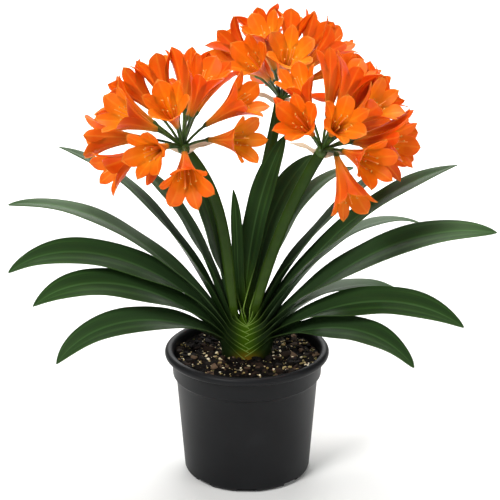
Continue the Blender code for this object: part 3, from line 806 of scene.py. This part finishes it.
stalk_skin = new_material("fleshy flower stalk", "#4c6e22", 0.42, 1.4, Specular_IOR_Level=0.2)
place = add_node(stalk_skin, "ShaderNodeTexCoord", output="Object")
level = add_node(stalk_skin, "ShaderNodeSeparateXYZ", {"Vector": place}, output="Z")
rise = add_node(stalk_skin, "ShaderNodeMapRange", {"Value": level}, From_Min=0.2, From_Max=0.42)
tint = add_node(
    stalk_skin, "ShaderNodeValToRGB", {"Fac": rise},
    stops=[(0.0, "#3c5410"), (0.35, "#2a4208"), (1.0, "#28420e")],
)
fleck = add_node(stalk_skin, "ShaderNodeTexNoise", {"Vector": place}, Scale=FLECK_SCALE, Detail=4.0)
mottled = add_node(
    stalk_skin, "ShaderNodeMixRGB", {"Color1": tint, "Fac": fleck}, Color2=colour("#20340a")
)
feed(stalk_skin, Base_Color=mottled)

film = new_material("dry papery bract", "#c99a80", 0.7)
surface = add_node(film, "ShaderNodeTexCoord", output="UV")
stretched = add_node(film, "ShaderNodeMapping", {"Vector": surface}, Scale=BRACT_FIBRES)
fibre = add_node(film, "ShaderNodeTexNoise", {"Vector": stretched}, Scale=1.0, Detail=4.0)
tint = add_node(
    film, "ShaderNodeValToRGB", {"Fac": fibre},
    stops=[(0.3, "#c6aa86"), (0.55, "#e4cdb0"), (0.75, "#f3e9d8")],
)
feed(film, Base_Color=tint)

for name, slot_place, depth, root_heading, hub, hub_heading in SCAPES:
    path = bezier(fan_point(slot_place, depth * MM), root_heading, MM * Vector(hub), hub_heading)
    scape = wrap_tube(
        f"scape_{name}_stalk", lambda t: sunk(path, SCAPE_ROOT + SCAPE_SPAN * t), *SCAPE_GRID,
        scape_radius, flat=SCAPE_HALF_DEPTH / SCAPE_HALF_WIDTH,
    )
    dress(scape, stalk_skin, "scape", f"scape_{name}")
    bracts = []
    for k, turn in enumerate(BRACT_TURNS[name]):
        lean = BRACT_LEAN - BRACT_LEAN_STEP * k
        bracts.append(make_bract(f"bract_{name}_{k}", MM * Vector(hub), math.radians(turn), lean))
    dress(join_all(bracts, f"bracts_{name}"), film, "bloom")

# Umbels. Each scape ends in a cluster of long funnel flowers on green pedicels. A flower has six
# tepals joined in a short tube, three narrow outside and three wide inside, thin and slightly
# translucent, orange with a yellower throat, and six curved filaments with golden anthers.
HUB_RADIUS = 6.825 * MM
HUB_DROP = 1.5 * MM
PEDICEL_LENGTH = 38 * MM
PEDICEL_RADIUS = 1.6 * MM
PEDICEL_ARCH = 1.5 * MM
OVARY_LENGTH = 7 * MM
OVARY_RADIUS = 3.2 * MM
BLOOM_LENGTH = 64 * MM
BLOOM_CLEARANCE = 3 * MM
TUBE_RADIUS = 2.6 * MM
TUBE_HALF_WIDTH = 1.75 * MM
FUNNEL_STEPS = 48
TEPAL_THICKNESS = 0.45 * MM
TEPAL_ACROSS = 10
TEPAL_ALONG = 18
TIP_CROWDING = 1.6
OUTER_HALF_WIDTH = 8.0 * MM
INNER_HALF_WIDTH = 10.8 * MM
OUTER_SHOULDER = 0.74
INNER_SHOULDER = 0.80
TEPAL_RIPPLE = 0.9 * MM
TEPAL_KEEL = 0.7 * MM
TEPAL_CUP = 1.2 * MM
FILAMENTS = 6
FILAMENT_LENGTHS = (0.68, 0.82)
STYLE_LENGTH = 0.92
THREAD_GRID = (6, 10)
THREAD_RADIUS = 0.56 * MM
THREAD_TAPER = 0.2 * MM
ANTHER_RADIUS = 0.7 * MM
ANTHER_HALF_LENGTH = 1.5 * MM
BLOOM_KINDS = 4
LEAST_OPEN = 0.5
OPEN_STEP = 0.22
BLOOM_SEED = 11
BLOOM_SIZES = (0.98, 1.07)
BLOOM_SPIN = 37
PEDICEL_GRID = (10, 18)
BUD_GRID = (24, 20)
BUD_LENGTH = 42 * MM
BUD_RADIUS = 5 * MM
# Per metre: pollen clumps about 0.7 mm, and flecks on a pedicel about 8 mm; and nerves across
# and along a tepal
POLLEN_SCALE = 1500.0
PEDICEL_SCALE = 120.0
NERVES = (34.0, 3.0, 1.0)
# Heading round the umbel in degrees from the front towards +X, and rise above level
BLOOMS = {
    "left": [
        (-10, 40), (-55, 28), (-22, 5), (5, -22), (45, 65), (-130, 62), (-120, 40), (-90, 32),
        (172, 68), (140, 50), (68, 36), (50, 10), (-88, 2), (-125, 8), (-60, -22), (175, 25),
    ],
    "rear": [
        (-130, 20), (-30, 36), (-110, 42), (-140, 64), (-30, 64), (-165, 34), (150, 68),
        (8, 44), (120, 54), (145, 32), (85, 44), (108, 18), (-172, 2),
    ],
    "right": [
        (-45, 62), (-22, 30), (14, 30), (95, 66), (160, 58), (58, 38), (120, 42), (98, 38),
        (95, 8), (60, 8), (32, 0), (110, -25), (20, -42), (140, 4),
    ],
}
BUDS = {"left": [(-20, 68), (-30, -42)], "rear": [(45, 4)], "right": [(-75, 45)]}


def funnel(openness):
    """Radius and height along a tepal's middle, from the tube out to the curled tip."""
    radius, height = TUBE_RADIUS, 0.0
    line = [(radius, height)]
    stride = BLOOM_LENGTH * 1.06 / FUNNEL_STEPS
    for step in range(FUNNEL_STEPS):
        t = (step + 0.5) / FUNNEL_STEPS
        flare = 18 * ease((t - 0.5) / 0.4) + 14 * ease((t - 0.85) / 0.15)
        lean = math.radians(6 + 13 * ease(t / 0.6) + openness * flare)
        radius += stride * math.sin(lean)
        height += stride * math.cos(lean)
        line.append((radius, height))
    return line


def along_line(line, t):
    """The radius and height at a share of a line."""
    spot = min(max(t, 0.0), 1.0) * (len(line) - 1)
    index = min(int(spot), len(line) - 2)
    share = spot - index
    low, high = line[index], line[index + 1]
    return low[0] + (high[0] - low[0]) * share, low[1] + (high[1] - low[1]) * share


def make_tepal(name, turn, outer, line, draw):
    """One tepal of a funnel along +Z: a grid bent to the funnel, hollowed, waved and pointed."""
    tepal = grid_piece(name, TEPAL_ACROSS, TEPAL_ALONG)
    widest = (OUTER_HALF_WIDTH if outer else INNER_HALF_WIDTH) * draw.uniform(0.93, 1.07)
    phase = draw.uniform(0, 6.28)
    curl = draw.uniform(-2.2, -0.2) * MM
    sway = math.radians(draw.uniform(-5, 5))
    shoulder = OUTER_SHOULDER if outer else INNER_SHOULDER
    for point in tepal.data.vertices:
        u = point.co.x
        t = 1 - ((1 - point.co.y) / 2) ** TIP_CROWDING
        radius, height = along_line(line, t)
        radius += (0.5 if outer else -0.4) * MM * ease(t / 0.3)
        half = TUBE_HALF_WIDTH + (widest - TUBE_HALF_WIDTH) * ease(t / 0.72)
        end = max(0.0, (t - shoulder) / (1 - shoulder))
        half = max(0.25 * MM, half * max(0.0, 1 - end**3.1) ** 0.55)
        angle = u * half / radius
        bend = turn + sway * ease(t)
        out = Vector((math.cos(bend), math.sin(bend), 0))
        circle = Vector((math.cos(bend + angle), math.sin(bend + angle), 0)) * radius
        straight = out * radius + Vector((-math.sin(bend), math.cos(bend), 0)) * u * half
        flat = 0.3 * ease((t - 0.35) / 0.5)
        ripple = TEPAL_RIPPLE * u * abs(u) * math.sin(11 * t + phase) * ease((t - 0.4) / 0.4)
        keel = TEPAL_KEEL * math.exp(-((u / 0.16) ** 2)) * ease(t / 0.4)
        lift = ripple + keel + curl * u * u * ease((t - 0.6) / 0.4)
        point.co = circle.lerp(straight, flat) + out * lift
        point.co.z = height - TEPAL_CUP * u * u * ease((t - 0.5) / 0.5)
    thicken(tepal, TEPAL_THICKNESS)
    # Solidify writes the second skin after the first, so a point's pair is half the list away
    points = [point.co for point in tepal.data.vertices]
    sheet = len(points) // 2
    facing = []
    for point, pair in zip(points, points[sheet:] + points[:sheet]):
        gain = point.z - pair.z - math.hypot(point.x, point.y) + math.hypot(pair.x, pair.y)
        facing.append(1.0 if gain > 0 else 0.0)
    write_layer(tepal.data, "inner", facing)
    return tepal


def curve_path(points):
    """A function of 0..1 along a smooth curve through a few points."""
    def at(t):
        spot = min(max(t, 0.0), 1.0) * (len(points) - 1)
        index = min(int(spot), len(points) - 2)
        share = spot - index
        before = points[max(index - 1, 0)]
        a, b = points[index], points[index + 1]
        after = points[min(index + 2, len(points) - 1)]
        pull_a, pull_b = (b - before) / 2, (after - a) / 2
        s2, s3 = share**2, share**3
        where = (2 * s3 - 3 * s2 + 1) * a + (s3 - 2 * s2 + share) * pull_a
        where += (3 * s2 - 2 * s3) * b + (s3 - s2) * pull_b
        way = (6 * s2 - 6 * share) * a + (3 * s2 - 4 * share + 1) * pull_a
        way += (6 * share - 6 * s2) * b + (3 * s2 - 2 * share) * pull_b
        return where, way.normalized()
    return at


def thread_radius(t):
    return THREAD_RADIUS - THREAD_TAPER * t


def make_stamens(name, draw):
    """Six filaments and a longer style that spread a little towards the funnel's mouth."""
    threads, anthers = [], []
    for k in range(FILAMENTS + 1):
        style = k == FILAMENTS
        turn = math.radians(360 / FILAMENTS * k + 30 + draw.uniform(-12, 12))
        reach = (2 if style else draw.uniform(5.5, 9.5)) * MM
        length = BLOOM_LENGTH * (STYLE_LENGTH if style else draw.uniform(*FILAMENT_LENGTHS))
        out = Vector((math.cos(turn), math.sin(turn), 0))
        points = [
            out * 1.5 * MM + Vector((0, 0, 6 * MM)),
            out * 0.45 * reach + Vector((0, 0, 0.4 * length)),
            out * 0.9 * reach + Vector((0, 0, 0.75 * length)),
            out * reach + Vector((0, 0, length)),
        ]
        path = curve_path(points)
        threads.append(wrap_tube(f"{name}_thread_{k}", path, *THREAD_GRID, thread_radius))
        if not style:
            deselect()
            bpy.ops.mesh.primitive_uv_sphere_add(segments=8, ring_count=6, radius=1)
            anther = take(f"{name}_anther_{k}")
            size = (ANTHER_RADIUS, ANTHER_RADIUS, ANTHER_HALF_LENGTH, 1)
            anther.data.transform(Matrix.Diagonal(size))
            anther.data.transform(Matrix.Rotation(draw.uniform(0.9, 1.5), 4, "Y"))
            anther.data.transform(Matrix.Rotation(turn + draw.uniform(-0.6, 0.6), 4, "Z"))
            anther.data.transform(Matrix.Translation(points[-1] + Vector((0, 0, 0.5 * MM))))
            anthers.append(anther)
    return join_all(threads, f"{name}_threads"), join_all(anthers, f"{name}_anthers")


def bloom_way(turn, rise):
    """A bloom's direction from its heading and rise in degrees."""
    turn, rise = math.radians(turn), math.radians(rise)
    level = math.cos(rise)
    return Vector((math.sin(turn) * level, -math.cos(turn) * level, math.sin(rise)))


def pedicel_way(way):
    """A stalk leaves the hub a little above its bloom's heading, and more where the bloom hangs."""
    return (way + Vector((0, 0, 0.25 + 0.85 * max(0.0, -way.z)))).normalized()


def frame_along(direction, origin, spin=0.0):
    """A matrix whose +Z runs along a direction."""
    turn = direction.to_track_quat("Z", "Y").to_matrix().to_4x4()
    return Matrix.Translation(origin) @ turn @ Matrix.Rotation(spin, 4, "Z")


def pedicel_radius(t):
    """A thin stalk that swells to the ovary just under its bloom."""
    stem = PEDICEL_RADIUS * (1.15 - 0.15 * ease(t / 0.3))
    ovary = ease((t - 0.6) / 0.16) * (1 - 0.45 * ease((t - 0.84) / 0.16))
    return stem + (OVARY_RADIUS - PEDICEL_RADIUS) * ovary


def bud_path(t):
    return Vector((0, 0, BUD_LENGTH * t)), Vector((0, 0, 1))


def bud_radius(t):
    """A bud swells from its stalk and closes to a blunt point."""
    swell = 0.32 + 0.68 * ease(t / 0.65)
    return BUD_RADIUS * swell * max(0.02, 1 - max(0.0, (t - 0.6) / 0.4) ** 2.2) ** 0.7


draw = random.Random(BLOOM_SEED)
kinds = []
for kind in range(BLOOM_KINDS):
    line = funnel(LEAST_OPEN + OPEN_STEP * kind)
    tepals = [
        make_tepal(f"tepal_{kind}_{k}", math.radians(60 * k), k % 2 == 1, line, draw)
        for k in range(6)
    ]
    corolla = join_all(tepals, f"corolla_{kind}")
    smooth(corolla, 60)
    threads, anthers = make_stamens(f"stamens_{kind}", draw)
    smooth(anthers, 60)
    kinds.append((corolla, threads, anthers))
bud = wrap_tube("bud", bud_path, *BUD_GRID, bud_radius, lobes=6, lobe_depth=0.06)

petal = new_material(
    "orange tepal tissue", "#ff6a14", 0.48, 1.4, Specular_IOR_Level=0.2, Subsurface_Weight=0.55,
    Subsurface_Radius=(1.0, 0.65, 0.3), Subsurface_Scale=3.5 * MM,
)
surface = add_node(petal, "ShaderNodeTexCoord", output="UV")
across = add_node(petal, "ShaderNodeSeparateXYZ", {"Vector": surface}, output="X")
along = add_node(petal, "ShaderNodeSeparateXYZ", {"Vector": surface}, output="Y")
tone = add_node(petal, "ShaderNodeAttribute", output="Fac", attribute_name="tone")
inner = add_node(petal, "ShaderNodeAttribute", output="Fac", attribute_name="inner")
throat = add_node(petal, "ShaderNodeValToRGB", {"Fac": along}, stops=[
    (0.0, "#de9226"), (0.24, "#ffc038"), (0.44, "#f8a428"),
    (0.6, "#e88016"), (0.82, "#de6a10"), (1.0, "#e6882e"),
])
back = add_node(petal, "ShaderNodeValToRGB", {"Fac": along}, stops=[
    (0.0, "#a8882c"), (0.1, "#dc8a28"), (0.3, "#dc6a16"), (0.65, "#d4580c"), (1.0, "#dc6e20"),
])
blush = add_node(petal, "ShaderNodeMixRGB", {"Color1": back, "Color2": throat, "Fac": inner})
deeper = add_node(
    petal, "ShaderNodeMixRGB", {"Color1": blush, "Fac": tone},
    Color2=colour("#ffd2b0"), blend_type="MULTIPLY",
)
centred = add_node(petal, "ShaderNodeMath", {0: across, 1: 0.5}, operation="SUBTRACT")
distance = add_node(petal, "ShaderNodeMath", {0: centred}, operation="ABSOLUTE")
stripe = add_node(
    petal, "ShaderNodeMapRange", {"Value": distance},
    From_Min=0.0, From_Max=0.09, To_Min=0.2, To_Max=0.0,
)
striped = add_node(
    petal, "ShaderNodeMixRGB", {"Color1": deeper, "Fac": stripe}, Color2=colour("#ffb53e")
)
stretched = add_node(petal, "ShaderNodeMapping", {"Vector": surface}, Scale=NERVES)
nerves = add_node(petal, "ShaderNodeTexNoise", {"Vector": stretched}, Scale=1.0, Detail=3.0)
veined = add_node(
    petal, "ShaderNodeMixRGB", {"Color1": striped, "Fac": nerves},
    Color2=colour("#ffe4cc"), blend_type="MULTIPLY",
)
ribs = add_node(petal, "ShaderNodeBump", {"Height": nerves}, Strength=0.35, Distance=0.3 * MM)
feed(petal, Base_Color=veined, Normal=ribs)

thread_skin = new_material(
    "filament and style", "#ffb25a", 0.5, Subsurface_Weight=0.1, Subsurface_Scale=1 * MM
)
pollen = new_material("pollen-dusted anther", "#ecd58a", 0.9)
place = add_node(pollen, "ShaderNodeTexCoord", output="Object")
dust = add_node(pollen, "ShaderNodeTexNoise", {"Vector": place}, Scale=POLLEN_SCALE, Detail=2.0)
tint = add_node(
    pollen, "ShaderNodeValToRGB", {"Fac": dust}, stops=[(0.35, "#c98828"), (0.65, "#ecba5c")]
)
feed(pollen, Base_Color=tint)
green_skin = new_material("fleshy pedicel", "#3f5e1e", 0.42, 1.4)
place = add_node(green_skin, "ShaderNodeTexCoord", output="Object")
fleck = add_node(
    green_skin, "ShaderNodeTexNoise", {"Vector": place}, Scale=PEDICEL_SCALE, Detail=3.0
)
tint = add_node(
    green_skin, "ShaderNodeValToRGB", {"Fac": fleck}, stops=[(0.35, "#1f3610"), (0.65, "#42601f")]
)
feed(green_skin, Base_Color=tint)

for name, slot_place, depth, root_heading, hub, hub_heading in SCAPES:
    centre = MM * Vector(hub)
    tepals, threads, anthers, stalks = [], [], [], []
    deselect()
    bpy.ops.mesh.primitive_uv_sphere_add(segments=24, ring_count=14, radius=HUB_RADIUS)
    knob = take(f"hub_{name}")
    top = heading(hub_heading)
    knob.data.transform(frame_along(top, centre - top * HUB_DROP))
    stalks.append(knob)
    for index, (turn, rise) in enumerate(BLOOMS[name] + BUDS[name]):
        way = bloom_way(turn, rise)
        stalk = pedicel_way(way)
        end = centre + stalk * PEDICEL_LENGTH
        bent = centre + stalk * PEDICEL_LENGTH * 0.5 + Vector((0, 0, PEDICEL_ARCH))
        path = curve_path([centre, bent, end, end + way * OVARY_LENGTH])
        stalks.append(wrap_tube(f"pedicel_{name}_{index}", path, *PEDICEL_GRID, pedicel_radius))
        size = draw.uniform(*BLOOM_SIZES)
        spin = math.radians(BLOOM_SPIN * index)
        placement = frame_along(way, end + way * BLOOM_CLEARANCE, spin) @ Matrix.Scale(size, 4)
        tone = draw.random()
        if index >= len(BLOOMS[name]):
            tepals.append(copy_at(bud, placement, 0.7 + 0.3 * tone))
            continue
        corolla, thread, anther = kinds[index % BLOOM_KINDS]
        tepals.append(copy_at(corolla, placement, tone))
        threads.append(copy_at(thread, placement))
        anthers.append(copy_at(anther, placement))
    node = f"umbel_{name}"
    dress(join_all(tepals, f"{node}_tepals"), petal, "bloom", node)
    dress(join_all(threads, f"{node}_filaments"), thread_skin, "bloom", node)
    dress(join_all(anthers, f"{node}_anthers"), pollen, "bloom", node)
    stalk_piece = join_all(stalks, f"{node}_pedicels")
    smooth(stalk_piece, 60)
    dress(stalk_piece, green_skin, "scape", node)
for group in kinds + [(bud,)]:
    for master in group:
        bpy.data.objects.remove(master, do_unlink=True)

# Studio. A plain pale floor, a broad key light from the upper left, a fill from the right, a soft
# top light and a lamp over the floor behind, and a long lens that looks down a little, as the
# photograph was taken.
FLOOR_SIZE = 30
FLOOR_BEHIND = Vector((0, 2.1, 0))
SKY_STRENGTH = 0.22
CAMERA_DISTANCE = 1.8
CAMERA_RISE = math.radians(19.6)
CAMERA_LENS = 114.5
CAMERA_SENSOR = 36
AIM = Vector((0.0035, 0.0, 0.270))
deselect()
bpy.ops.mesh.primitive_plane_add(size=FLOOR_SIZE, location=(0, 0, 0))
ground = take("floor")
paper = new_material("pale backdrop paper", "#f4f4f2", 0.9)
ground.data.materials.append(paper)
ground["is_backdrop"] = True


def soft_light(name, place, size, power, aim=AIM):
    """A round lamp: its place and width in metres, its power in watts, and where it points."""
    data = bpy.data.lights.new(name, "AREA")
    data.shape = "DISK"
    data.size = size
    data.energy = power
    lamp = bpy.data.objects.new(name, data)
    bpy.context.scene.collection.objects.link(lamp)
    lamp.location = place
    lamp.rotation_euler = (aim - Vector(place)).to_track_quat("-Z", "Y").to_euler()


soft_light("key", (-1.1, -1.5, 1.9), 0.8, 46)
soft_light("fill", (1.8, -1.2, 1.0), 1.2, 14)
soft_light("top", (0.1, 0.5, 2.2), 1.2, 46)
soft_light("far floor", (0, 2.1, 1.1), 2.0, 44, FLOOR_BEHIND)
world = bpy.data.worlds.new("studio")
world.use_nodes = True
sky = world.node_tree.nodes["Background"]
sky.inputs["Color"].default_value = (1, 1, 1, 1)
sky.inputs["Strength"].default_value = SKY_STRENGTH
bpy.context.scene.world = world
bpy.context.scene.view_settings.view_transform = "Standard"

lens = bpy.data.cameras.new("camera")
lens.lens = CAMERA_LENS
lens.sensor_width = CAMERA_SENSOR
camera = bpy.data.objects.new("camera", lens)
bpy.context.scene.collection.objects.link(camera)
camera.location = AIM + CAMERA_DISTANCE * Vector((0, -math.cos(CAMERA_RISE), math.sin(CAMERA_RISE)))
camera.rotation_euler = (AIM - camera.location).to_track_quat("-Z", "Y").to_euler()
bpy.context.scene.camera = camera

low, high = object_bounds()
